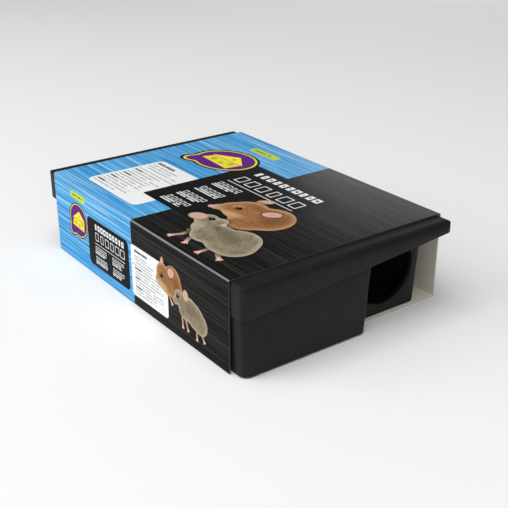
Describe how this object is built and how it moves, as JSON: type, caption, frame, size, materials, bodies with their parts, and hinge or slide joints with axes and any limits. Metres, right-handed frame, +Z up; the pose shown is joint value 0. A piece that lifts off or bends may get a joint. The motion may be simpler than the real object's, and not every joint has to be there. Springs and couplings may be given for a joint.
{
  "type": "bait station",
  "caption": "Low rectangular mouse bait station: hinged lid over a tray with entrance holes in recessed corners, a key lock and bait on rods, inside an open-ended card sleeve.",
  "frame": {"origin": "centre of the bounding box on the ground, under the middle of the card sleeve", "axes": "+X along the sleeve towards the near end, +Y towards the hinge side, +Z up"},
  "size_m": [0.138, 0.0942, 0.034],
  "materials": {
    "black_plastic": "black moulded polypropylene with a fine satin texture",
    "grey_plastic": "dark grey moulded plastic",
    "steel": "plain zinc-plated wire",
    "bait_wax": "blue-green grained wax",
    "printed_card": "blue and black print with a light varnish",
    "plain_card": "unprinted grey-beige inner face"
  },
  "bodies": {
    "base": {"base_tray": "black_plastic", "bait_tray": "grey_plastic", "hinge_pin_far": "steel", "hinge_pin_near": "steel", "bait_rod_near": "steel", "bait_rod_far": "steel", "bait_block_1": "bait_wax", "bait_block_2": "bait_wax", "bait_block_3": "bait_wax", "bait_block_4": "bait_wax", "lock_key": "grey_plastic"},
    "lid": {"lid": "black_plastic"},
    "lock": {"lock_barrel": "grey_plastic", "lock_cam": "grey_plastic", "cam_washer": "steel", "cam_screw": "steel"},
    "sleeve_lower": {"card_sleeve_lower": "plain_card"},
    "sleeve_upper": {"card_sleeve_upper": "printed_card"}
  },
  "joints": [
    {"name": "lid_hinge", "type": "hinge", "parent": "base", "child": "lid", "pos_m": [0, 0.045, 0.0319], "axis": [-1, 0, 0], "range_deg": [0, 95]},
    {"name": "lock_turn", "type": "hinge", "parent": "lid", "child": "lock", "pos_m": [0, -0.036, 0.028], "axis": [0, 0, -1], "range_deg": [0, 90]},
    {"name": "sleeve_slide", "type": "slide", "parent": "base", "child": "sleeve_lower", "axis": [1, 0, 0], "range_m": [-0.14, 0.14]},
    {"name": "sleeve_top_slide", "type": "slide", "parent": "lid", "child": "sleeve_upper", "axis": [1, 0, 0], "range_m": [-0.14, 0.14]}
  ],
  "couplings": [
    {"joint": "sleeve_top_slide", "follows": "sleeve_slide", "ratio": 1}
  ]
}
